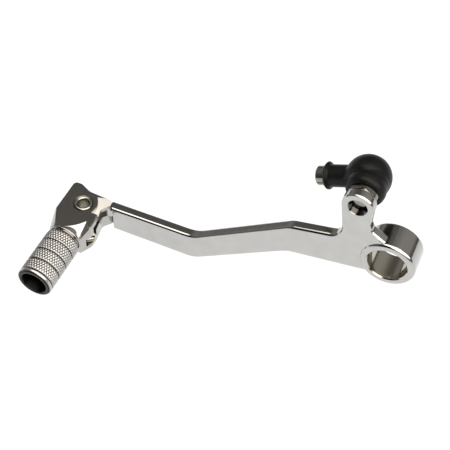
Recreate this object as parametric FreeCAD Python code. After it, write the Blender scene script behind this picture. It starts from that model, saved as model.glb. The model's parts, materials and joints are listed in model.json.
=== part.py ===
"""Gear shift lever for the left side of a motorcycle.

A cranked, polished aluminium arm turns on a pivot through its boss.  Its tip is a
sprung fork head that folds back about a hollow rivet and carries a knurled toe peg.
An ear above the boss takes a booted ball joint for the shift rod.

Millimetres.  +X runs from the toe peg towards the pivot, +Y points away from the rider's
foot (inboard), +Z is up.  The origin is on the pivot axis, at the middle of the boss.
"""
import FreeCAD, Part
import math
import os

V = FreeCAD.Vector

# ---------------------------------------------------------------- driving dimensions
BORE_RADIUS = 9.0
BOSS_RADIUS = 12.6
BOSS_LENGTH = 14.5
BOSS_ROUNDING = 1.6
BORE_CHAMFER = 0.5

ARM_SETBACK = 1.0          # the arm's outer face lies this far behind the boss's face
ARM_THICKNESS = 5.5
ARM_HEIGHT = 15.2
ARM_ROUNDING = 1.5

TIP_TOP = -32.2            # height of the arm's and the head's upper faces at the tip
ARM_END_X = -139.0

EAR_X = -17.6
EAR_Z = 28.3
EAR_RADIUS = 7.4
EAR_SETBACK = 0.45         # the ear's outer face lies this far behind the arm's
STUD_THREAD_RADIUS = 4.0   # M8
STUD_THREAD_PITCH = 1.25
STUD_RECESS = 3.4          # the stud's end lies this far behind the arm's outer face

HINGE_X = -151.6
HINGE_SETOUT = 2.5         # the hinge axis stands this far outboard of the arm's face
PIN_RADIUS = 3.7
PIN_BORE_RADIUS = 2.9
PIN_FLARE_RADIUS = 4.5
RUNNING_CLEARANCE = 0.05
LUG_RADIUS = 7.0
LUG_THICKNESS = 4.0
HEAD_RIGHT_X = -141.2

HEAD_HEIGHT = 15.0
UPPER_CHEEK = 3.2
LOWER_CHEEK = 2.8
SPRING_WIRE = 1.2
SPRING_MEAN_RADIUS = 5.1
SPRING_TURNS = 2
SPRING_ARM_ANGLE = 92.0    # where the coil begins, seen from above
SPRING_HEAD_ANGLE = 231.0  # where it ends, after its whole turns
SPRING_BEND = 1.6          # inner corner of the upper end, on the wire's centre line
SPRING_HOLE_PLAY = 0.4     # radial play of that end in the lug's hole
SPRING_HEAD_LEG = 12.5
SPRING_HOOK = 5.2
SPRING_HOOK_TURN = 77.0    # degrees from the leg to the hook, seen from above
SPRING_HOOK_RISE = 2.8
SPRING_HOOK_BEND = 1.3
SPRING_ROOM = 6.4          # radius of the pocket that holds the coil

PEG_RADIUS = 8.9
PEG_BORE_RADIUS = 6.4
PEG_LENGTH = 28.0
PEG_X = -152.5
PEG_FACE_SETOUT = 50.5     # the peg's open end stands this far outboard of the arm's face
PEG_FLOOR = 5.0
PEG_FLOOR_HOLE = 3.4
PEG_SCREW_RADIUS = 3.0     # M6
SCREW_HEAD_RADIUS = 5.0
SCREW_HEAD_HEIGHT = 6.0
SCREW_SOCKET = 5.0         # across flats
SCREW_SOCKET_DEPTH = 3.0
SCREW_REACH = 8.5          # into the head
WASHER_RADIUS = 6.0
WASHER_HOLE_RADIUS = 3.3
WASHER_THICKNESS = 1.2
KNURL_BANDS = 4
KNURL_BAND = 6.4
GROOVE_HALF_WIDTH = 0.55   # of the rings between the knurled bands
GROOVE_DEPTH = 0.8

BALL_RADIUS = 5.0
BALL_SETBACK = 20.0        # ball centre behind the arm's outer face
SHANK_DROP = 23.5          # degrees the rod end points below the horizontal at rest
SHANK_LENGTH = 25.6        # ball centre to the shank's open end
SHANK_RADIUS = 4.4
HOUSING_RADIUS = 7.5
HOUSING_MOUTH = 4.6        # the housing's open face lies this far before the ball's centre
CLIP_RADIUS = 5.0
CLIP_WIRE_RADIUS = 0.6
CLIP_GAP = 2.4
CLIP_GROOVE_RADIUS = 5.65
CLIP_GROOVE_HALF_WIDTH = 0.7
SHANK_THREAD_RADIUS = 2.5  # tapping size for M6
SHANK_THREAD_LENGTH = 11.0
COLLAR_ACROSS_FLATS = 12.8
COLLAR_RADIUS = 6.9        # the collar is turned round, so its six flats are narrow
COLLAR_THICKNESS = 2.8
STUD_SEAT_RADIUS = 4.2
STUD_SEAT_LENGTH = 2.2
STUD_NECK_RADIUS = 2.6
BOOT_RADIUS = 10.3
BOOT_SHIFT = 1.6           # the boot's dome is centred this far along the shank
SLEEVE_RADIUS = 5.05
SLEEVE_END = 21.4
BOOT_GAP = 0.3             # between the boot and the housing

# ---------------------------------------------------------------- derived places
BOSS_FRONT = -BOSS_LENGTH / 2
ARM_FRONT = BOSS_FRONT + ARM_SETBACK
ARM_BACK = ARM_FRONT + ARM_THICKNESS
TIP_BOTTOM = TIP_TOP - ARM_HEIGHT
HEAD_MIDDLE = TIP_TOP - HEAD_HEIGHT / 2
HEAD_BOTTOM = TIP_TOP - HEAD_HEIGHT
SLOT_TOP = TIP_TOP - UPPER_CHEEK
SLOT_BOTTOM = HEAD_BOTTOM + LOWER_CHEEK
HINGE_Y = ARM_FRONT - HINGE_SETOUT
BALL_Y = ARM_FRONT + BALL_SETBACK
PEG_FRONT = ARM_FRONT - PEG_FACE_SETOUT
PEG_BACK = PEG_FRONT + PEG_LENGTH
CLIP_Y = BALL_Y - 3.1
COLLAR_END = ARM_BACK + COLLAR_THICKNESS
BOOT_LIP_Y = COLLAR_END + BOOT_GAP
MOUTH_Y = BALL_Y - HOUSING_MOUTH
LUG_TOP = SLOT_TOP - RUNNING_CLEARANCE
LUG_BOTTOM = LUG_TOP - LUG_THICKNESS
LUG_SLOT_BOTTOM = LUG_BOTTOM - 0.15
WASHER_Y = PEG_BACK - PEG_FLOOR
SCREW_SEAT_Y = WASHER_Y - WASHER_THICKNESS


# ---------------------------------------------------------------- helpers
def rounded_face(corners, place):
    """Face from (u, v, radius) corners; each corner gets an arc of its radius."""
    count = len(corners)
    starts = []
    ends = []
    middles = []
    for index, (u, v, radius) in enumerate(corners):
        here = V(u, v, 0)
        back = V(corners[index - 1][0], corners[index - 1][1], 0) - here
        ahead = V(corners[(index + 1) % count][0], corners[(index + 1) % count][1], 0) - here
        back.normalize()
        ahead.normalize()
        half = back.getAngle(ahead) / 2
        reach = radius / math.tan(half)
        starts.append(here + back * reach)
        ends.append(here + ahead * reach)
        bisector = back + ahead
        if radius:
            bisector.normalize()
            middles.append(here + bisector * (radius / math.sin(half) - radius))
        else:
            middles.append(here)
    edges = []
    for index in range(count):
        if corners[index][2]:
            arc = Part.Arc(place(starts[index]), place(middles[index]), place(ends[index]))
            edges.append(arc.toShape())
        following = (index + 1) % count
        if (starts[following] - ends[index]).Length > 1e-6:
            edges.append(Part.LineSegment(place(ends[index]), place(starts[following])).toShape())
    return Part.Face(Part.Wire(edges))


def side_plate(corners, front, back):
    """Plate whose outline is given in X and Z, between two depths."""
    face = rounded_face(corners, lambda p: V(p.x, front, p.y))
    return face.extrude(V(0, back - front, 0))


def flat_plate(corners, bottom, top):
    """Plate whose outline is given in X and Y, between two heights."""
    face = rounded_face(corners, lambda p: V(p.x, p.y, bottom))
    return face.extrude(V(0, 0, top - bottom))


def rod_y(radius, x, z, start, end):
    """Cylinder along Y."""
    return Part.makeCylinder(radius, end - start, V(x, start, z), V(0, 1, 0))


def rod_z(radius, x, y, start, end):
    """Cylinder along Z."""
    return Part.makeCylinder(radius, end - start, V(x, y, start), V(0, 0, 1))


def turned(profile, x, z):
    """Solid of revolution about the line along Y through (x, z), from (y, radius) points."""
    points = [V(x + radius, y, z) for y, radius in profile]
    face = Part.Face(Part.makePolygon(points + points[:1]))
    return face.revolve(V(x, 0, z), V(0, 1, 0), 360)


def edges_in_plane(shape, axis, level):
    """Edges whose vertices and middle all lie at one level of one axis."""
    found = []
    for edge in shape.Edges:
        middle = edge.valueAt((edge.FirstParameter + edge.LastParameter) / 2)
        spots = [vertex.Point for vertex in edge.Vertexes] + [middle]
        if all(abs(getattr(spot, axis) - level) < 1e-4 for spot in spots):
            found.append(edge)
    return found


def write(name, shape):
    if shape.ShapeType != "Solid" and len(shape.Solids) == 1:
        shape = shape.Solids[0]
    if not shape.isValid():
        raise RuntimeError(name + " is not a valid shape")
    shape.exportStep("parts/" + name + ".step")
    print("%-18s volume %9.1f mm3, solids %d" % (name, shape.Volume, len(shape.Solids)))


# ---------------------------------------------------------------- lever arm
def lever_arm():
    outline = [
        (ARM_END_X, TIP_BOTTOM, 0),
        (-92.8, TIP_BOTTOM, 14),
        (-46.0, -16.4, 16),
        (0, -8.6, 0),
        (0, 8, 0),
        (-3.0, 12.3, 0),
        (EAR_X + EAR_RADIUS - 0.4, 17.0, 5),
        (EAR_X + EAR_RADIUS, EAR_Z + EAR_RADIUS, EAR_RADIUS - 0.1),
        (EAR_X - EAR_RADIUS - 1.1, EAR_Z + EAR_RADIUS, EAR_RADIUS - 0.1),
        (-22.0, 6.9, 6),
        (-45.9, 1.4, 10),
        (-93.4, -31.4, 14),
        (ARM_END_X, TIP_TOP, 0),
    ]
    bar = side_plate(outline, ARM_FRONT, ARM_BACK)
    rims = edges_in_plane(bar, "y", ARM_FRONT) + edges_in_plane(bar, "y", ARM_BACK)
    bar = bar.makeFillet(ARM_ROUNDING, rims)

    boss = rod_y(BOSS_RADIUS, 0, 0, BOSS_FRONT, -BOSS_FRONT)
    boss_rims = edges_in_plane(boss, "y", BOSS_FRONT) + edges_in_plane(boss, "y", -BOSS_FRONT)
    boss = boss.makeFillet(BOSS_ROUNDING, boss_rims)

    # the end of the bar slants back so that the head can fold beside it
    slant = flat_plate([
        (ARM_END_X - 5, ARM_FRONT - 1, 0),
        (ARM_END_X + 3.0, ARM_FRONT - 1, 0),
        (ARM_END_X, ARM_FRONT + 2.8, 0),
        (ARM_END_X - 5, ARM_FRONT + 2.8, 0),
    ], TIP_BOTTOM - 1, TIP_TOP + 1)

    lug = rod_z(LUG_RADIUS, HINGE_X, HINGE_Y, LUG_BOTTOM, LUG_TOP)
    web = flat_plate([
        (HINGE_X + 5.3, HINGE_Y - 4.0, 0),
        (HINGE_X + 8.6, HINGE_Y + 1.8, 3.0),
        (ARM_END_X + 3.5, ARM_FRONT + 2.6, 0),
        (ARM_END_X + 3.5, ARM_BACK - 0.6, 0),
        (HINGE_X, HINGE_Y + LUG_RADIUS, 0),
    ], LUG_BOTTOM, LUG_TOP)

    arm = bar.cut(slant).fuse([boss, lug, web])

    outer_end = BOSS_FRONT - BORE_CHAMFER
    mouth = BORE_RADIUS + 2 * BORE_CHAMFER
    bore = turned([
        (outer_end, 0),
        (outer_end, mouth),
        (BOSS_FRONT + BORE_CHAMFER, BORE_RADIUS),
        (-BOSS_FRONT - BORE_CHAMFER, BORE_RADIUS),
        (-outer_end, mouth),
        (-outer_end, 0),
    ], 0, 0)
    ear_face = ARM_FRONT + EAR_SETBACK
    thread_depth = 0.55
    hole_profile = [
        (ear_face - 1, 0),
        (ear_face - 1, STUD_THREAD_RADIUS + thread_depth + 1),
        (ear_face + thread_depth, STUD_THREAD_RADIUS),
    ]
    for turn in range(2):
        root = ear_face + thread_depth + STUD_THREAD_PITCH * (turn + 0.5)
        hole_profile.append((root, STUD_THREAD_RADIUS - thread_depth))
        hole_profile.append((root + STUD_THREAD_PITCH / 2, STUD_THREAD_RADIUS))
    hole_profile += [(ARM_BACK + 1, STUD_THREAD_RADIUS), (ARM_BACK + 1, 0)]
    stud_hole = turned(hole_profile, EAR_X, EAR_Z)

    # the ear's face steps back over a short slope
    slope_foot = 12.4
    slope_top = 14.4
    left = EAR_X - 15
    step = Part.makePolygon([
        V(left, ear_face, slope_top),
        V(left, ARM_FRONT, slope_foot),
        V(left, ARM_FRONT - 1, slope_foot),
        V(left, ARM_FRONT - 1, EAR_Z + 10),
        V(left, ear_face, EAR_Z + 10),
        V(left, ear_face, slope_top),
    ])
    step = Part.Face(step).extrude(V(28, 0, 0))
    pin_hole = rod_z(PIN_RADIUS + RUNNING_CLEARANCE, HINGE_X, HINGE_Y, HEAD_BOTTOM, TIP_TOP)
    spring_end = spring_arm_end()
    hole_depth = 2.6
    spring_hole = rod_z(
        SPRING_WIRE / 2 + SPRING_HOLE_PLAY, spring_end.x, spring_end.y,
        LUG_BOTTOM - 1, LUG_BOTTOM + hole_depth)
    return arm.cut([bore, step, stud_hole, pin_hole, spring_hole]).removeSplitter()


# ---------------------------------------------------------------- folding tip
def peg_head():
    front = PEG_BACK + 2.0
    depth = ARM_FRONT - 1.0          # datum depth, 1 mm outboard of the arm's face
    block = flat_plate([
        (PEG_X - 8.8, front, 0),
        (-162.7, depth - 9.0, 12),
        (-162.7, depth + 9.9, 2.2),
        (-158.5, depth + 9.9, 4),
        (-152.5, depth + 7.1, 6),
        (ARM_END_X - 0.2, depth + 6.3, 2.0),
        (ARM_END_X - 0.2, depth + 3.4, 0.6),
        (HEAD_RIGHT_X - 1.3, depth - 0.6, 3.0),
        (HEAD_RIGHT_X, depth - 9.0, 4.0),
        (HEAD_RIGHT_X, depth - 14.0, 4.5),
        (PEG_X + 8.3, front, 0),
    ], HEAD_BOTTOM, TIP_TOP)
    rims = edges_in_plane(block, "z", TIP_TOP) + edges_in_plane(block, "z", HEAD_BOTTOM)
    rims = [edge for edge in rims if edge.BoundBox.YMax > front + 1e-3]
    block = block.makeFillet(0.7, rims)

    # towards the neck, a cone about the peg's axis takes the corners off the outer half
    cone_length = 10.5
    neck_end_radius = 8.5
    head_end_radius = 12.1
    cone = Part.makeCone(
        neck_end_radius, head_end_radius, cone_length,
        V(PEG_X, front - 1, HEAD_MIDDLE), V(0, 1, 0))
    outer_half = Part.makeBox(
        20, cone_length, 30, V(PEG_X - 20, front - 1, HEAD_MIDDLE - 15))
    block = block.cut(outer_half.cut(cone))

    # a scoop beside the neck: a curved, sloping wall above a tilted floor
    wall_x = -162.0
    wall_y = depth + 0.3
    scoop_plan = flat_plate([
        (-144.8, depth - 10.8, 0),
        (-140.8, depth - 15.0, 0),
        (-138.0, depth - 26.0, 0),
        (-170.0, depth - 26.0, 0),
        (-170.0, depth - 10.8, 0),
    ], HEAD_BOTTOM - 1, TIP_TOP + 2)
    wall_radius = 20.5
    wall_drop = 9.0
    wall = Part.makeCone(
        wall_radius + wall_drop, wall_radius - 3, wall_drop + 3,
        V(wall_x, wall_y, TIP_TOP - wall_drop), V(0, 0, 1))
    floor_normal = V(-0.31, -0.47, 0.83)
    floor = Part.makeBox(60, 60, 30, V(-30, -30, -30))
    floor.Placement = FreeCAD.Placement(
        V(-144.8, depth - 10.8, TIP_TOP), FreeCAD.Rotation(V(0, 0, 1), floor_normal))
    block = block.cut(scoop_plan.cut(wall).cut(floor))

    # the corner beside the arm falls away towards the front, outside a round about the hinge
    corner_plan = flat_plate([
        (HINGE_X, depth + 12.0, 0),
        (ARM_END_X + 1, depth + 12.0, 0),
        (ARM_END_X + 1, depth - 5.0, 0),
        (HINGE_X, depth - 5.0, 0),
    ], TIP_TOP - UPPER_CHEEK, TIP_TOP + 2)
    cheek_round = rod_z(9.8, HINGE_X - 3.0, HINGE_Y, TIP_TOP - UPPER_CHEEK, TIP_TOP + 2)
    fall_normal = V(0.05, -0.17, 0.98)
    below = Part.makeBox(60, 60, 30, V(-30, -30, -30))
    below.Placement = FreeCAD.Placement(
        V(ARM_END_X, depth + 7.3, TIP_TOP), FreeCAD.Rotation(V(0, 0, 1), fall_normal))
    block = block.cut(corner_plan.cut(cheek_round).cut(below))

    neck = rod_y(HEAD_HEIGHT / 2 - 0.05, PEG_X, HEAD_MIDDLE, PEG_BACK, front + 9)
    collar_start = PEG_BACK + 1.3
    collar_end = PEG_BACK + 2.6
    collar = rod_y(neck_end_radius, PEG_X, HEAD_MIDDLE, collar_start, collar_end)
    collar = collar.makeFillet(0.4, [e for e in collar.Edges if e.Curve.TypeId == "Part::GeomCircle"])
    head = block.fuse([neck, collar])

    # the slot that the arm's lug turns in, open towards the arm
    slot = rod_z(LUG_RADIUS + 0.5, HINGE_X, HINGE_Y, LUG_SLOT_BOTTOM, SLOT_TOP)
    mouth = flat_plate([
        (HINGE_X - 1.0, HINGE_Y - LUG_RADIUS - 0.4, 0),
        (HEAD_RIGHT_X + 6, HINGE_Y - 10.6, 0),
        (HEAD_RIGHT_X + 6, HINGE_Y + 14, 0),
        (HINGE_X + 0.5, HINGE_Y + 14, 0),
    ], LUG_SLOT_BOTTOM, SLOT_TOP)

    # below it, a round pocket for the coil, and a window at the side for the spring's hook
    pocket = rod_z(SPRING_ROOM, HINGE_X, HINGE_Y, SLOT_BOTTOM, LUG_SLOT_BOTTOM)
    window = flat_plate([
        (HINGE_X - 5.6, HINGE_Y - 3.0, 0),
        (-146.5, depth - 14.2, 0),
        (-143.8, depth - 16.6, 1.0),
        (HEAD_RIGHT_X + 2, depth - 16.6, 0),
        (HEAD_RIGHT_X + 2, depth - 8.6, 0),
        (-146.0, depth - 8.6, 1.0),
        (HINGE_X, HINGE_Y - 1, 0),
    ], SLOT_BOTTOM, LUG_SLOT_BOTTOM)
    pin_hole = rod_z(PIN_RADIUS, HINGE_X, HINGE_Y, HEAD_BOTTOM - 1, TIP_TOP + 1)
    sinks = []
    sink_depth = 1.25
    for level, way in ((TIP_TOP, 1), (HEAD_BOTTOM, -1)):
        sinks.append(Part.makeCone(
            PIN_RADIUS, PIN_FLARE_RADIUS + 0.5, sink_depth + 0.05,
            V(HINGE_X, HINGE_Y, level - way * sink_depth), V(0, 0, way)))
    tapped_end = PEG_BACK + SCREW_REACH + 1.5
    tapped = rod_y(PEG_SCREW_RADIUS, PEG_X, HEAD_MIDDLE, PEG_BACK - 1, tapped_end)
    return head.cut([slot, mouth, pocket, window, pin_hole, tapped] + sinks).removeSplitter()


def hinge_pin():
    """Hollow rivet, flared over both cheeks of the head."""
    half = HEAD_HEIGHT / 2
    lip = 0.65
    neck = 1.2

    def at(radius, z):
        return V(HINGE_X + radius, HINGE_Y, HEAD_MIDDLE + z)

    outer = at(PIN_FLARE_RADIUS, half)
    inner = at(PIN_BORE_RADIUS + 0.1, half)
    rolled = Part.Arc(outer, at((PIN_FLARE_RADIUS + PIN_BORE_RADIUS) / 2, half + lip), inner)
    corners = [
        inner,
        at(PIN_BORE_RADIUS, half - neck),
        at(PIN_BORE_RADIUS, 0),
        at(PIN_RADIUS, 0),
        at(PIN_RADIUS, half - neck),
        outer,
    ]
    face = Part.Face(Part.Wire([rolled.toShape()] + Part.makePolygon(corners).Edges))
    upper = face.revolve(V(HINGE_X, HINGE_Y, 0), V(0, 0, 1), 360)
    lower = upper.mirror(V(HINGE_X, HINGE_Y, HEAD_MIDDLE), V(0, 0, 1))
    return upper.fuse(lower).removeSplitter()


def bent_wire(points, radius):
    """Edges of a bent wire through points, with an arc of one radius at each inner point."""
    edges = []
    start = points[0]
    for before, corner, after in zip(points, points[1:], points[2:]):
        back = before - corner
        ahead = after - corner
        back.normalize()
        ahead.normalize()
        half = back.getAngle(ahead) / 2
        reach = radius / math.tan(half)
        bisector = back + ahead
        bisector.normalize()
        middle = corner + bisector * (radius / math.sin(half) - radius)
        if (corner + back * reach - start).Length > 1e-6:
            edges.append(Part.LineSegment(start, corner + back * reach).toShape())
        edges.append(Part.Arc(corner + back * reach, middle, corner + ahead * reach).toShape())
        start = corner + ahead * reach
    if (points[-1] - start).Length > 1e-6:
        edges.append(Part.LineSegment(start, points[-1]).toShape())
    return edges


def on_coil(angle, z):
    """Point of the spring's centre line at an angle about the hinge."""
    turn = math.radians(angle)
    return V(HINGE_X + SPRING_MEAN_RADIUS * math.cos(turn),
             HINGE_Y + SPRING_MEAN_RADIUS * math.sin(turn), z)


def spring_arm_end():
    """Where the spring's upper end turns up into the lug."""
    turn = math.radians(SPRING_ARM_ANGLE - 90)
    return on_coil(SPRING_ARM_ANGLE, 0) + V(math.cos(turn), math.sin(turn), 0) * SPRING_BEND


def torsion_spring():
    """Coil under the lug: its upper end stands in the lug, its lower one hooks the head."""
    coil_gap = 0.04
    floor_gap = 0.6
    pitch = SPRING_WIRE + coil_gap
    end_angle = SPRING_HEAD_ANGLE + 360.0 * SPRING_TURNS
    swept = end_angle - SPRING_ARM_ANGLE
    height = pitch * swept / 360
    low = SLOT_BOTTOM + SPRING_WIRE / 2 + floor_gap
    high = low + height
    helix = Part.makeHelix(pitch, height, SPRING_MEAN_RADIUS)
    helix = helix.mirror(V(0, 0, 0), V(0, 0, 1))
    helix.Placement = FreeCAD.Placement(
        V(HINGE_X, HINGE_Y, high), FreeCAD.Rotation(V(0, 0, 1), SPRING_ARM_ANGLE))

    def along(angle):
        turn = math.radians(angle + 90)
        slope = -pitch / (2 * math.pi * SPRING_MEAN_RADIUS)
        direction = V(math.cos(turn), math.sin(turn), slope)
        direction.normalize()
        return direction

    arm_way = along(SPRING_ARM_ANGLE)
    first = on_coil(SPRING_ARM_ANGLE, high)
    last = on_coil(end_angle, low)
    arm_corner = first - arm_way * SPRING_BEND
    arm_reach = 1.9
    arm_tip = V(arm_corner.x, arm_corner.y, LUG_BOTTOM + arm_reach)
    leg_corner = last + along(end_angle) * SPRING_HEAD_LEG
    hook_turn = math.radians(end_angle + 90 + SPRING_HOOK_TURN)
    hook_way = V(math.cos(hook_turn), math.sin(hook_turn), 0)
    outer_corner = leg_corner + hook_way * SPRING_HOOK
    upper_corner = outer_corner + V(0, 0, SPRING_HOOK_RISE)
    hook_return = 4.0
    hook_end = upper_corner - hook_way * hook_return
    path = Part.Wire(
        bent_wire([arm_tip, arm_corner, first], SPRING_BEND * 0.999)
        + helix.Edges
        + bent_wire([last, leg_corner, outer_corner, upper_corner, hook_end],
                    SPRING_HOOK_BEND))
    section = Part.Wire(Part.makeCircle(SPRING_WIRE / 2, arm_tip, V(0, 0, 1)))
    return path.makePipeShell([section], True, True)


def toe_peg():
    profile = [
        (PEG_BACK, PEG_FLOOR_HOLE),
        (PEG_BACK, PEG_RADIUS - 1.0),
        (PEG_BACK - 0.9, PEG_RADIUS),
    ]
    for number in range(1, KNURL_BANDS + 1):
        place = PEG_BACK - number * KNURL_BAND
        profile += [
            (place + GROOVE_HALF_WIDTH, PEG_RADIUS),
            (place, PEG_RADIUS - GROOVE_DEPTH),
            (place - GROOVE_HALF_WIDTH, PEG_RADIUS),
        ]
    rim = 1.5
    profile += [
        (PEG_FRONT + rim, PEG_RADIUS),
        (PEG_FRONT + rim * 0.3, PEG_RADIUS - rim * 0.3),
        (PEG_FRONT, PEG_RADIUS - rim),
        (PEG_FRONT, PEG_BORE_RADIUS + 0.3),
        (PEG_FRONT + 0.3, PEG_BORE_RADIUS),
        (WASHER_Y, PEG_BORE_RADIUS),
        (WASHER_Y, PEG_FLOOR_HOLE),
    ]
    return turned(profile, PEG_X, HEAD_MIDDLE)


def peg_washer():
    return turned([
        (WASHER_Y, WASHER_HOLE_RADIUS),
        (WASHER_Y, WASHER_RADIUS),
        (SCREW_SEAT_Y, WASHER_RADIUS),
        (SCREW_SEAT_Y, WASHER_HOLE_RADIUS),
    ], PEG_X, HEAD_MIDDLE)


def peg_screw():
    head_end = SCREW_SEAT_Y - SCREW_HEAD_HEIGHT
    shank = rod_y(PEG_SCREW_RADIUS, PEG_X, HEAD_MIDDLE, SCREW_SEAT_Y, PEG_BACK + SCREW_REACH)
    cap = rod_y(SCREW_HEAD_RADIUS, PEG_X, HEAD_MIDDLE, head_end, SCREW_SEAT_Y)
    cap = cap.makeFillet(0.5, edges_in_plane(cap, "y", head_end))
    socket = hexagon(
        SCREW_SOCKET, PEG_X, HEAD_MIDDLE, head_end - 0.1, head_end + SCREW_SOCKET_DEPTH)
    return shank.fuse(cap).cut(socket).removeSplitter()


# ---------------------------------------------------------------- ball joint
def hexagon(across_flats, x, z, start, end):
    """Hexagonal bar along Y."""
    corner = across_flats / math.sqrt(3)
    points = []
    for number in range(7):
        turn = math.radians(60 * number + 30)
        points.append(V(x + corner * math.cos(turn), start, z + corner * math.sin(turn)))
    return Part.Face(Part.makePolygon(points)).extrude(V(0, end - start, 0))


def ball_stud():
    thread_end = ARM_FRONT + STUD_RECESS
    bevel = 0.6
    thread = turned([
        (thread_end, 0),
        (thread_end, STUD_THREAD_RADIUS - bevel),
        (thread_end + bevel, STUD_THREAD_RADIUS),
        (ARM_BACK, STUD_THREAD_RADIUS),
        (ARM_BACK, 0),
    ], EAR_X, EAR_Z)
    collar = hexagon(COLLAR_ACROSS_FLATS, EAR_X, EAR_Z, ARM_BACK, COLLAR_END)
    crown = turned([
        (ARM_BACK, 0),
        (ARM_BACK, COLLAR_RADIUS - bevel),
        (ARM_BACK + bevel, COLLAR_RADIUS),
        (COLLAR_END - bevel, COLLAR_RADIUS),
        (COLLAR_END, COLLAR_RADIUS - bevel),
        (COLLAR_END, 0),
    ], EAR_X, EAR_Z)
    seat_end = COLLAR_END + STUD_SEAT_LENGTH
    seat = rod_y(STUD_SEAT_RADIUS, EAR_X, EAR_Z, COLLAR_END, seat_end)
    neck = rod_y(STUD_NECK_RADIUS, EAR_X, EAR_Z, seat_end, BALL_Y)
    ball = Part.makeSphere(BALL_RADIUS, V(EAR_X, BALL_Y, EAR_Z))
    return thread.fuse([collar.common(crown), seat, neck, ball]).removeSplitter()


def shank_rod(radius, start, end):
    """Cylinder along the rod end's shank, measured from the ball centre."""
    turn = math.radians(SHANK_DROP)
    way = V(-math.cos(turn), 0, -math.sin(turn))
    centre = V(EAR_X, BALL_Y, EAR_Z)
    return Part.makeCylinder(radius, end - start, centre + way * start, way)


def rod_end_housing():
    centre = V(EAR_X, BALL_Y, EAR_Z)
    back = Part.makeSphere(HOUSING_RADIUS, centre)
    barrel = rod_y(HOUSING_RADIUS, EAR_X, EAR_Z, MOUTH_Y, BALL_Y)
    keep = rod_y(HOUSING_RADIUS + 1, EAR_X, EAR_Z, MOUTH_Y, BALL_Y + HOUSING_RADIUS + 1)
    barrel = barrel.makeFillet(0.6, edges_in_plane(barrel, "y", MOUTH_Y))
    shank = shank_rod(SHANK_RADIUS, 5, SHANK_LENGTH)
    shank = shank.makeChamfer(0.5, [e for e in shank.Edges if e.Length > 20 and
                                    e.CenterOfMass.distanceToPoint(centre) > SHANK_LENGTH - 1])
    body = back.common(keep).fuse([barrel, shank])
    seat = Part.makeSphere(BALL_RADIUS + RUNNING_CLEARANCE, centre)
    entry = rod_y(BALL_RADIUS + RUNNING_CLEARANCE, EAR_X, EAR_Z, MOUTH_Y - 1, BALL_Y)
    groove = rod_y(
        CLIP_GROOVE_RADIUS, EAR_X, EAR_Z,
        CLIP_Y - CLIP_GROOVE_HALF_WIDTH, CLIP_Y + CLIP_GROOVE_HALF_WIDTH)
    thread = shank_rod(SHANK_THREAD_RADIUS, SHANK_LENGTH - SHANK_THREAD_LENGTH, SHANK_LENGTH + 1)
    return body.cut([seat, entry, groove, thread]).removeSplitter()


def retaining_clip():
    """Open spring ring in the housing's groove, in front of the ball."""
    ring = Part.makeTorus(CLIP_RADIUS, CLIP_WIRE_RADIUS, V(EAR_X, CLIP_Y, EAR_Z), V(0, 1, 0))
    gap = Part.makeBox(
        CLIP_RADIUS + 2, 4 * CLIP_WIRE_RADIUS, CLIP_GAP,
        V(EAR_X, CLIP_Y - 2 * CLIP_WIRE_RADIUS, EAR_Z - CLIP_GAP / 2))
    return ring.cut(gap)


def dust_boot():
    """Moulded dome over the housing, with a waisted skirt and a sleeve along the shank."""
    centre = V(EAR_X, BALL_Y, EAR_Z)
    lip = BOOT_LIP_Y
    drop = math.radians(SHANK_DROP)
    shift = V(-math.cos(drop), 0, -math.sin(drop)) * BOOT_SHIFT
    dome = Part.makeSphere(BOOT_RADIUS, centre + shift - V(0, 0.7, 0))
    behind = rod_y(BOOT_RADIUS + 3, EAR_X, EAR_Z, MOUTH_Y, BALL_Y + BOOT_RADIUS + 1)
    skirt = turned([
        (lip, 0),
        (lip, 7.0),
        (lip + 0.7, 8.1),
        (lip + 2.0, 8.75),
        (lip + 3.9, 9.0),
        (lip + 5.9, 8.8),
        (lip + 8.0, 8.95),
        (lip + 8.0, 0),
    ], EAR_X - 0.3, EAR_Z)
    sleeve = shank_rod(SLEEVE_RADIUS, 4, SLEEVE_END)
    bead = shank_rod(SLEEVE_RADIUS + 1.3, SLEEVE_END - 1.9, SLEEVE_END)
    bead = bead.makeChamfer(0.85, [e for e in bead.Edges if e.Length > 20])
    outer = dome.common(behind).fuse([skirt, sleeve, bead])

    room = Part.makeSphere(HOUSING_RADIUS + BOOT_GAP, centre)
    lip_hole = STUD_SEAT_RADIUS + 0.15
    front_room = turned([
        (lip - 1, 0),
        (lip - 1, lip_hole),
        (lip + 2.0, lip_hole),
        (MOUTH_Y - 0.6, HOUSING_RADIUS - 0.6),
        (MOUTH_Y - 0.3, HOUSING_RADIUS + BOOT_GAP),
        (BALL_Y, HOUSING_RADIUS + BOOT_GAP),
        (BALL_Y, 0),
    ], EAR_X, EAR_Z)
    shank_room = shank_rod(SHANK_RADIUS + 0.1, 4, SLEEVE_END + 1)
    return outer.cut([room, front_room, shank_room]).removeSplitter()


# ---------------------------------------------------------------- write the sub-parts
PARTS = {
    "lever_arm": lever_arm,
    "peg_head": peg_head,
    "hinge_pin": hinge_pin,
    "torsion_spring": torsion_spring,
    "toe_peg": toe_peg,
    "peg_washer": peg_washer,
    "peg_screw": peg_screw,
    "ball_stud": ball_stud,
    "rod_end_housing": rod_end_housing,
    "retaining_clip": retaining_clip,
    "dust_boot": dust_boot,
}

os.makedirs("parts", exist_ok=True)
for name, build in PARTS.items():
    write(name, build())
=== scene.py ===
import json
import math

import bpy
from mathutils import Matrix, Vector


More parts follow.
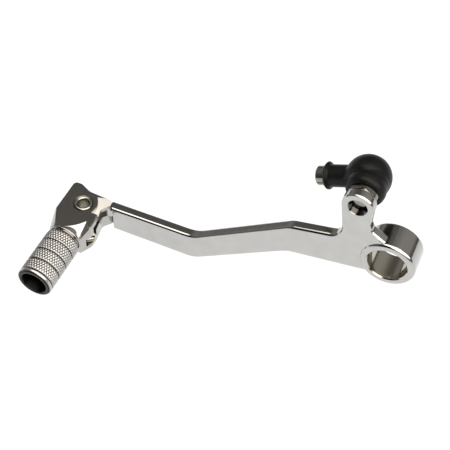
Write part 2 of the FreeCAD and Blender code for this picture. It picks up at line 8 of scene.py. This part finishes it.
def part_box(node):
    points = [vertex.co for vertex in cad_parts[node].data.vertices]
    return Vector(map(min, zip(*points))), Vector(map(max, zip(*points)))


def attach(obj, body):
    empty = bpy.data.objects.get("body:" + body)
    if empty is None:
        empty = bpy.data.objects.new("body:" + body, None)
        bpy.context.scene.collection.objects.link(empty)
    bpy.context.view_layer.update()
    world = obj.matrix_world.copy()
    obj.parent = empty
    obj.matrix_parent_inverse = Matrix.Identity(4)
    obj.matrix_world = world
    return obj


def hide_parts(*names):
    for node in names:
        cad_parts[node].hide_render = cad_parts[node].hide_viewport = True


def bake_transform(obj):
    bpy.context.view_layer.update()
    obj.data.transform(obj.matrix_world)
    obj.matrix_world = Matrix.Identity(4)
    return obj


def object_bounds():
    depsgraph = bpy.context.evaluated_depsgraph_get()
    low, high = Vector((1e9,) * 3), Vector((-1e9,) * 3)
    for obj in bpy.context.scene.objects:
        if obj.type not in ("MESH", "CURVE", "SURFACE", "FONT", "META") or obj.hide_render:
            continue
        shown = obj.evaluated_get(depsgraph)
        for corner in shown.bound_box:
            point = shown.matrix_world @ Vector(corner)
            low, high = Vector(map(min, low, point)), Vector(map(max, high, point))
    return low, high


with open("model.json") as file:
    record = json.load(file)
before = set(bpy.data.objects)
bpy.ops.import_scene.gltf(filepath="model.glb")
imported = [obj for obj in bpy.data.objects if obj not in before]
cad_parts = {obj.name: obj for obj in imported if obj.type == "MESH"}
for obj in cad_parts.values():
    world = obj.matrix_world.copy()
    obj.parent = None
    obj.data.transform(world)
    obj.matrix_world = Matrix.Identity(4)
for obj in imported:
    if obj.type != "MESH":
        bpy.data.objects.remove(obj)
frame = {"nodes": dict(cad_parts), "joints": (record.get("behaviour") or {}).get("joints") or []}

CAD_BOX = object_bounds()
MM = 0.001


# ---------------------------------------------------------------- places, from the frame, and some given sizes
JOINTS = {joint["name"]: joint for joint in frame["joints"]}
BALL = Vector(JOINTS["ball_swivel"]["pos_m"])
HINGE = Vector(JOINTS["tip_fold"]["pos_m"])
PIVOT = Vector((0, 0, 0))
SHANK_WAY = Vector(JOINTS["ball_tilt"]["axis"]).cross(Vector((0, 1, 0)))
if SHANK_WAY.dot(Vector(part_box("rod_end_housing")[0]) - BALL) < 0:
    SHANK_WAY = -SHANK_WAY
PEG_LOW, PEG_HIGH = [Vector(corner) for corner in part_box("toe_peg")]
PEG_RADIUS = (PEG_HIGH.x - PEG_LOW.x) / 2
PEG_X = (PEG_LOW.x + PEG_HIGH.x) / 2
PEG_Z = (PEG_LOW.z + PEG_HIGH.z) / 2
PEG_BORE_RADIUS = 6.4 * MM
KNURL_DEPTH = 0.32 * MM
EAR_HOLE_RADIUS = 4.6 * MM
PIVOT_BORE_RADIUS = 9.0 * MM
ABOUT_Y = (1, 0, 1)        # the directions that count for distance from an axis along Y
ABOUT_Z = (1, 1, 0)


# ---------------------------------------------------------------- camera
def make_camera():
    """A long lens, looking down at the outer face from the front right."""
    azimuth = math.radians(22.13)
    elevation = math.radians(50.74)
    roll = math.radians(2.26)
    aim = Vector((-0.0699, -0.0232, 0.0094))
    distance = 0.4412
    back = Vector((
        math.sin(azimuth) * math.cos(elevation),
        -math.cos(azimuth) * math.cos(elevation),
        math.sin(elevation)))
    right = Vector((math.cos(azimuth), math.sin(azimuth), 0))
    up = back.cross(right)
    rolled_right = math.cos(roll) * right + math.sin(roll) * up
    rolled_up = -math.sin(roll) * right + math.cos(roll) * up
    data = bpy.data.cameras.new("camera")
    data.sensor_width = 36
    data.lens = 81.27
    data.clip_start = 0.01
    data.clip_end = 20
    camera = bpy.data.objects.new("camera", data)
    bpy.context.scene.collection.objects.link(camera)
    turn = Matrix((rolled_right, rolled_up, back)).transposed().to_4x4()
    camera.matrix_world = Matrix.Translation(aim + back * distance) @ turn
    bpy.context.scene.camera = camera


make_camera()


# ---------------------------------------------------------------- small helpers
def new_mesh(name, vertices, faces, smooth=True):
    mesh = bpy.data.meshes.new(name)
    mesh.from_pydata([tuple(v) for v in vertices], [], faces)
    mesh.validate()
    if smooth:
        mesh.polygons.foreach_set("use_smooth", [True] * len(mesh.polygons))
    mesh.update()
    piece = bpy.data.objects.new(name, mesh)
    bpy.context.scene.collection.objects.link(piece)
    return piece


def grid_faces(rows, columns):
    """Quads over a grid whose rows and columns both close on themselves."""
    faces = []
    for row in range(rows):
        following = (row + 1) % rows
        for column in range(columns):
            side = (column + 1) % columns
            faces.append((
                row * columns + column,
                row * columns + side,
                following * columns + side,
                following * columns + column))
    return faces


# ---------------------------------------------------------------- materials
def new_material(name):
    material = bpy.data.materials.new(name)
    material.use_nodes = True
    tree = material.node_tree
    shader = tree.nodes["Principled BSDF"]
    return material, tree, shader


def noise(tree, scale, detail=3.0, stretch=(1, 1, 1)):
    """Noise in the part's own space; scale is waves per metre."""
    place = tree.nodes.new("ShaderNodeTexCoord")
    mapping = tree.nodes.new("ShaderNodeMapping")
    mapping.inputs["Scale"].default_value = stretch
    texture = tree.nodes.new("ShaderNodeTexNoise")
    texture.inputs["Scale"].default_value = scale
    texture.inputs["Detail"].default_value = detail
    tree.links.new(place.outputs["Object"], mapping.inputs["Vector"])
    tree.links.new(mapping.outputs["Vector"], texture.inputs["Vector"])
    return texture.outputs["Fac"]


def ramp(tree, value, dark, light, low=0.3, high=0.7):
    node = tree.nodes.new("ShaderNodeValToRGB")
    node.color_ramp.elements[0].position = low
    node.color_ramp.elements[0].color = (*dark, 1)
    node.color_ramp.elements[1].position = high
    node.color_ramp.elements[1].color = (*light, 1)
    tree.links.new(value, node.inputs["Fac"])
    return node.outputs["Color"]


def spread(tree, value, low, high):
    node = tree.nodes.new("ShaderNodeMapRange")
    node.inputs["From Min"].default_value = 0.3
    node.inputs["From Max"].default_value = 0.7
    node.inputs["To Min"].default_value = low
    node.inputs["To Max"].default_value = high
    tree.links.new(value, node.inputs["Value"])
    return node.outputs["Result"]


def axis_distance(tree, centre, across):
    """Distance in metres from an axis through the centre."""
    place = tree.nodes.new("ShaderNodeTexCoord")
    shift = tree.nodes.new("ShaderNodeVectorMath")
    shift.operation = "SUBTRACT"
    shift.inputs[1].default_value = tuple(centre)
    flatten = tree.nodes.new("ShaderNodeVectorMath")
    flatten.operation = "MULTIPLY"
    flatten.inputs[1].default_value = across
    length = tree.nodes.new("ShaderNodeVectorMath")
    length.operation = "LENGTH"
    tree.links.new(place.outputs["Object"], shift.inputs[0])
    tree.links.new(shift.outputs["Vector"], flatten.inputs[0])
    tree.links.new(flatten.outputs["Vector"], length.inputs[0])
    return length.outputs["Value"]


def paint_light_within(material, centre, across, inner, outer, tone):
    """Paints light or shade: gives a material another tone within the inner distance of an axis,
    fading by the outer.
    """
    tree = material.node_tree
    base_colour = tree.nodes["Principled BSDF"].inputs["Base Color"]
    usual_colour = base_colour.links[0].from_socket
    mask = tree.nodes.new("ShaderNodeMapRange")
    mask.inputs["From Min"].default_value = inner
    mask.inputs["From Max"].default_value = outer
    tree.links.new(axis_distance(tree, centre, across), mask.inputs["Value"])
    mix = tree.nodes.new("ShaderNodeMix")
    mix.data_type = "RGBA"
    near, far = [socket for socket in mix.inputs if socket.type == "RGBA"]
    near.default_value = (*tone, 1)
    tree.links.new(usual_colour, far)
    tree.links.new(mask.outputs["Result"], mix.inputs["Factor"])
    result = [socket for socket in mix.outputs if socket.type == "RGBA"]
    tree.links.new(result[0], base_colour)


def bump(tree, shader, value, depth, before=None):
    node = tree.nodes.new("ShaderNodeBump")
    node.inputs["Strength"].default_value = 1.0
    node.inputs["Distance"].default_value = depth
    tree.links.new(value, node.inputs["Height"])
    if before is not None:
        tree.links.new(before.outputs["Normal"], node.inputs["Normal"])
    tree.links.new(node.outputs["Normal"], shader.inputs["Normal"])
    return node


def metal(name, dark, light, rough_low, rough_high, grain=3000.0, grain_depth=0.0000004,
          wave=60.0, wave_depth=0.0, stretch=(1, 1, 1)):
    material, tree, shader = new_material(name)
    shader.inputs["Metallic"].default_value = 1.0
    cloud = noise(tree, 140.0)
    tree.links.new(ramp(tree, cloud, dark, light), shader.inputs["Base Color"])
    fine = noise(tree, grain, 6.0, stretch)
    tree.links.new(spread(tree, fine, rough_low, rough_high), shader.inputs["Roughness"])
    first = bump(tree, shader, fine, grain_depth) if grain_depth else None
    if wave_depth:
        bump(tree, shader, noise(tree, wave, 1.0), wave_depth, first)
    return material


def rubber(name):
    material, tree, shader = new_material(name)
    shader.inputs["Specular IOR Level"].default_value = 0.2
    cloud = noise(tree, 260.0, 4.0)
    tree.links.new(ramp(tree, cloud, (0.0025, 0.0025, 0.0024), (0.005, 0.005, 0.0048)),
                   shader.inputs["Base Color"])
    fine = noise(tree, 2600.0, 4.0)
    tree.links.new(spread(tree, fine, 0.36, 0.5), shader.inputs["Roughness"])
    bump(tree, shader, fine, 0.000003)
    return material


def paint(node, material):
    """Gives a CAD node's own object a finished material."""
    target = frame["nodes"][node]
    target.data.materials.clear()
    target.data.materials.append(material)


POLISHED = metal(
    "polished_aluminium", (0.475, 0.47, 0.457), (0.515, 0.51, 0.495), 0.11, 0.17,
    grain_depth=0.0000002, wave_depth=0.000004)
# painted shade: the polished metal goes dark inside the ear's hole, fading out at its mouth
paint_light_within(
    POLISHED, BALL, ABOUT_Y, EAR_HOLE_RADIUS - 0.5 * MM, EAR_HOLE_RADIUS, (0.09, 0.085, 0.078))
# painted shade on the lug inside the head, up to where the bar begins, where it lies in the slot's
# shadow
paint_light_within(POLISHED, HINGE, ABOUT_Z, 11.3 * MM, 12.2 * MM, (0.04, 0.038, 0.035))
# painted reflection: a lighter, warmer tone inside the pivot bore
paint_light_within(
    POLISHED, PIVOT, ABOUT_Y, PIVOT_BORE_RADIUS + 0.2 * MM, PIVOT_BORE_RADIUS + 0.5 * MM,
    (0.53, 0.50, 0.435))
SATIN = metal(
    "satin_aluminium", (0.44, 0.425, 0.405), (0.47, 0.455, 0.435), 0.18, 0.2,
    grain=900.0, grain_depth=0.0, stretch=(1, 0.15, 1))
NICKEL = metal("nickel_steel", (0.49, 0.485, 0.47), (0.56, 0.55, 0.535), 0.26, 0.36)
# painted shade: the nickel goes dark below the knurl's crests, in the ring grooves, the knurl valleys
# and surfaces nearer the axis
paint_light_within(
    NICKEL, (PEG_X, 0, PEG_Z), ABOUT_Y, PEG_RADIUS - 0.55 * MM, PEG_RADIUS - 0.15 * MM,
    (0.03, 0.028, 0.025))
ZINC = metal("zinc_steel", (0.27, 0.255, 0.225), (0.36, 0.345, 0.305), 0.14, 0.22)
RIVET = metal("rivet_steel", (0.40, 0.385, 0.34), (0.50, 0.48, 0.43), 0.12, 0.2)
# painted shade inside the hollow pin
paint_light_within(RIVET, HINGE, ABOUT_Z, 1.5 * MM, 2.2 * MM, (0.08, 0.075, 0.065))
SPRING = metal("spring_steel", (0.62, 0.58, 0.48), (0.74, 0.71, 0.6), 0.2, 0.32)
# painted shade: a near-black metal that stands in for the shade inside the peg's deep bore
PEG_BORE_SHADE = metal(
    "peg_bore_painted_shade", (0.006, 0.006, 0.0057), (0.012, 0.0118, 0.011), 0.3, 0.45)
RUBBER = rubber("moulded_rubber")

paint("lever_arm", POLISHED)
paint("peg_head", SATIN)
paint("hinge_pin", RIVET)
paint("peg_washer", ZINC)
paint("peg_screw", ZINC)
paint("ball_stud", ZINC)
paint("rod_end_housing", ZINC)
paint("retaining_clip", SPRING)


# ---------------------------------------------------------------- toe peg with its knurl
def peg_profile():
    """(distance from the open end, radius, knurled) down the peg's outside, then its bore."""
    length = PEG_HIGH.y - PEG_LOW.y
    nose = 1.4 * MM
    first_groove = 2.4 * MM
    band = 6.4 * MM
    groove_half_width = 0.55 * MM
    groove_depth = 0.8 * MM
    chamfer = 0.9 * MM
    floor = length - 5.0 * MM
    floor_hole = 3.4 * MM
    floor_bevel = 0.3 * MM
    mouth_bevel = 0.35 * MM
    nose_steps = 8
    knurl_steps = 40
    outside = []
    for step in range(nose_steps, -1, -1):
        turn = math.pi / 2 * step / nose_steps
        outside.append((nose * (1 - math.sin(turn)), PEG_RADIUS - nose * (1 - math.cos(turn)), False))
    outside.append((first_groove - groove_half_width, PEG_RADIUS, False))
    place = first_groove
    while place < length - chamfer - 0.1 * MM:
        outside.append((place, PEG_RADIUS - groove_depth, False))
        start = place + groove_half_width
        end = min(place + band - groove_half_width, length - chamfer)
        for step in range(knurl_steps + 1):
            outside.append((start + (end - start) * step / knurl_steps, PEG_RADIUS, True))
        place += band
    outside.append((length, PEG_RADIUS - chamfer, False))
    outside.append((length, floor_hole, False))
    inside = [
        (floor, floor_hole, False),
        (floor, PEG_BORE_RADIUS - floor_bevel, False),
        (floor - floor_bevel, PEG_BORE_RADIUS, False),
        (length / 2, PEG_BORE_RADIUS, False),
        (mouth_bevel, PEG_BORE_RADIUS, False),
        (0.0, PEG_BORE_RADIUS + mouth_bevel, False),
    ]
    return outside + inside


def knurl_cut(turns, along):
    """How deep two crossing sets of helical cuts reach at a spot."""
    starts = 38
    pitch = 2.5 * MM
    flat_share = 1.15
    one = (starts * turns + along / pitch) % 1.0
    other = (starts * turns - along / pitch) % 1.0
    lowest = min(abs(2 * one - 1), abs(2 * other - 1))
    return KNURL_DEPTH * (1 - min(1.0, lowest * flat_share))


def make_peg():
    columns = 380
    profile = peg_profile()
    vertices = []
    for along, plain_radius, knurled in profile:
        for column in range(columns):
            turn = 2 * math.pi * column / columns
            radius = plain_radius
            if knurled:
                radius -= knurl_cut(column / columns, along)
            vertices.append((
                PEG_X + radius * math.cos(turn),
                PEG_LOW.y + along,
                PEG_Z + radius * math.sin(turn)))
    faces = grid_faces(len(profile), columns)
    peg = new_mesh("knurled_toe_peg", vertices, faces)
    peg.data.materials.append(NICKEL)
    # the second material is the bore's painted shade
    peg.data.materials.append(PEG_BORE_SHADE)
    for face in peg.data.polygons:
        reach = math.hypot(face.center.x - PEG_X, face.center.z - PEG_Z)
        if reach < PEG_BORE_RADIUS + 0.05 * MM and face.center.y > PEG_LOW.y + 0.36 * MM:
            face.material_index = 1
    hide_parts("toe_peg")
    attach(peg, "tip")
    return peg


make_peg()


# ---------------------------------------------------------------- dust boot
def evaluated(piece):
    """Replaces a piece's mesh by what its modifiers make of it."""
    graph = bpy.context.evaluated_depsgraph_get()
    mesh = bpy.data.meshes.new_from_object(piece.evaluated_get(graph))
    piece.modifiers.clear()
    piece.data = mesh


def bell(distance, width):
    """Smooth weight that is 1 at no distance and fades out over the width."""
    return math.exp(-(distance / width) ** 2)


def make_boot():
    """One smooth moulding: the CAD boot's walls, with its joins blended like rubber."""
    dome_end = 9.2 * MM        # along the shank, where the sleeve leaves the dome
    waist_y = -4.0 * MM        # along the stud, where the skirt meets the dome
    shank_room = 4.7 * MM
    least = 0.15
    source = frame["nodes"]["dust_boot"]
    boot = bpy.data.objects.new("moulded_dust_boot", source.data.copy())
    bpy.context.scene.collection.objects.link(boot)
    boot.data.materials.clear()
    weld = boot.modifiers.new("weld", "WELD")
    weld.merge_threshold = 0.01 * MM
    remesh = boot.modifiers.new("remesh", "REMESH")
    remesh.mode = "VOXEL"
    remesh.voxel_size = 0.26 * MM
    evaluated(boot)

    # how much each spot is smoothed: the joins of dome, skirt and sleeve most, the rims least
    group = boot.vertex_groups.new(name="joins")
    for vertex in boot.data.vertices:
        offset = vertex.co - BALL
        along = offset.dot(SHANK_WAY)
        across = (offset - SHANK_WAY * along).length
        outside = min(1, max(0, across - shank_room) / (0.8 * MM))
        join = bell(along - dome_end, 2.2 * MM) * outside
        waist = bell(offset.y - waist_y, 1.5 * MM)
        group.add([vertex.index], max(least, min(1.0, join + waist)), "REPLACE")
    smooth = boot.modifiers.new("smooth", "SMOOTH")
    smooth.factor = 0.6
    smooth.iterations = 24
    smooth.vertex_group = "joins"
    evaluated(boot)
    boot.data.polygons.foreach_set("use_smooth", [True] * len(boot.data.polygons))
    boot.data.materials.append(RUBBER)
    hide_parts("dust_boot")
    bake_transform(boot)
    return boot


make_boot()


# ---------------------------------------------------------------- torsion spring
def make_spring():
    """A copy of the CAD spring's wire, in spring steel."""
    source = frame["nodes"]["torsion_spring"]
    spring = bpy.data.objects.new("wound_torsion_spring", source.data.copy())
    bpy.context.scene.collection.objects.link(spring)
    spring.data.materials.clear()
    spring.data.materials.append(SPRING)
    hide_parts("torsion_spring")
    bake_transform(spring)
    return spring


make_spring()


# ---------------------------------------------------------------- stage
def make_stage():
    size = 3.0
    drop = 0.06
    level = CAD_BOX[0][2] - drop
    floor = new_mesh("floor", [
        (-size, -size, level), (size, -size, level), (size, size, level), (-size, size, level)],
        [(0, 1, 2, 3)], smooth=False)
    material, tree, shader = new_material("floor")
    shader.inputs["Base Color"].default_value = (0.95, 0.95, 0.95, 1)
    shader.inputs["Roughness"].default_value = 0.9
    shader.inputs["Specular IOR Level"].default_value = 0.0
    floor.data.materials.append(material)


def softbox(name, place, aim, width, height, power):
    """Area light for matt surfaces; polished ones mirror the studio instead."""
    data = bpy.data.lights.new(name, "AREA")
    data.shape = "RECTANGLE"
    data.size = width
    data.size_y = height
    data.energy = power
    light = bpy.data.objects.new(name, data)
    bpy.context.scene.collection.objects.link(light)
    way = Vector(aim) - Vector(place)
    light.matrix_world = Matrix.Translation(place) @ way.to_track_quat("-Z", "Y").to_matrix().to_4x4()
    light.visible_glossy = False
    light.visible_camera = False


def math_node(tree, operation, first, second):
    node = tree.nodes.new("ShaderNodeMath")
    node.operation = operation
    for socket, value in zip(node.inputs, (first, second)):
        if isinstance(value, (int, float)):
            socket.default_value = value
        else:
            tree.links.new(value, socket)
    return node.outputs["Value"]


def fade(tree, value, start, end, low=0.0, high=1.0):
    """Smooth change from low to high as a value goes from start to end."""
    node = tree.nodes.new("ShaderNodeMapRange")
    node.interpolation_type = "SMOOTHSTEP"
    node.inputs["From Min"].default_value = start
    node.inputs["From Max"].default_value = end
    node.inputs["To Min"].default_value = low
    node.inputs["To Max"].default_value = high
    tree.links.new(value, node.inputs["Value"])
    return node.outputs["Result"]


def studio_reflection(tree):
    """What polished metal mirrors: a large softbox overhead and in front, and a dim room."""
    place = tree.nodes.new("ShaderNodeTexCoord")
    axes = tree.nodes.new("ShaderNodeSeparateXYZ")
    tree.links.new(place.outputs["Generated"], axes.inputs["Vector"])
    x, y, z = [axes.outputs[axis] for axis in "XYZ"]

    # x, y and z are parts of the direction looked in, from -1 to 1
    box = fade(tree, y, 0.36, 0.2)
    box = math_node(tree, "MULTIPLY", box, fade(tree, math_node(tree, "ADD", x, y), -0.85, -0.65))
    box = math_node(tree, "MULTIPLY", box, fade(tree, x, -0.62, -0.45))
    box = math_node(tree, "MULTIPLY", box, fade(tree, z, 0.18, 0.36))
    box_strength = 3.0
    box = math_node(tree, "MULTIPLY", box, box_strength)

    room = fade(tree, x, -0.35, 0.45, 0.12, 0.36)
    room = math_node(tree, "MULTIPLY", room, fade(tree, z, 0.0, 0.3, 0.12, 1.0))
    room = math_node(tree, "MULTIPLY", room, fade(tree, y, -0.6, 0.0, 0.06, 1.0))
    left = fade(tree, x, -0.5, -0.75, 0.0, 0.14)
    light = math_node(tree, "ADD", math_node(tree, "ADD", room, left), box)

    glow = tree.nodes.new("ShaderNodeBackground")
    glow.inputs["Color"].default_value = (1.0, 0.955, 0.89, 1)
    tree.links.new(light, glow.inputs["Strength"])
    return glow.outputs["Background"]


def make_world():
    """Metal mirrors the studio above; matt surfaces are lit evenly by a white room."""
    world = bpy.data.worlds.new("studio")
    bpy.context.scene.world = world
    world.use_nodes = True
    tree = world.node_tree
    tree.nodes.clear()
    output = tree.nodes.new("ShaderNodeOutputWorld")
    paths = tree.nodes.new("ShaderNodeLightPath")
    bright = tree.nodes.new("ShaderNodeBackground")
    bright.inputs["Color"].default_value = (1.0, 1.0, 1.0, 1)
    bright.inputs["Strength"].default_value = 0.95
    mix = tree.nodes.new("ShaderNodeMixShader")
    tree.links.new(paths.outputs["Is Glossy Ray"], mix.inputs["Fac"])
    tree.links.new(bright.outputs["Background"], mix.inputs[1])
    tree.links.new(studio_reflection(tree), mix.inputs[2])
    tree.links.new(mix.outputs["Shader"], output.inputs["Surface"])


make_stage()
make_world()
softbox("overhead", (-0.15, -0.08, 0.75), (-0.08, 0, 0), 0.9, 0.5, 2.4)
bpy.context.scene.view_settings.view_transform = "Standard"
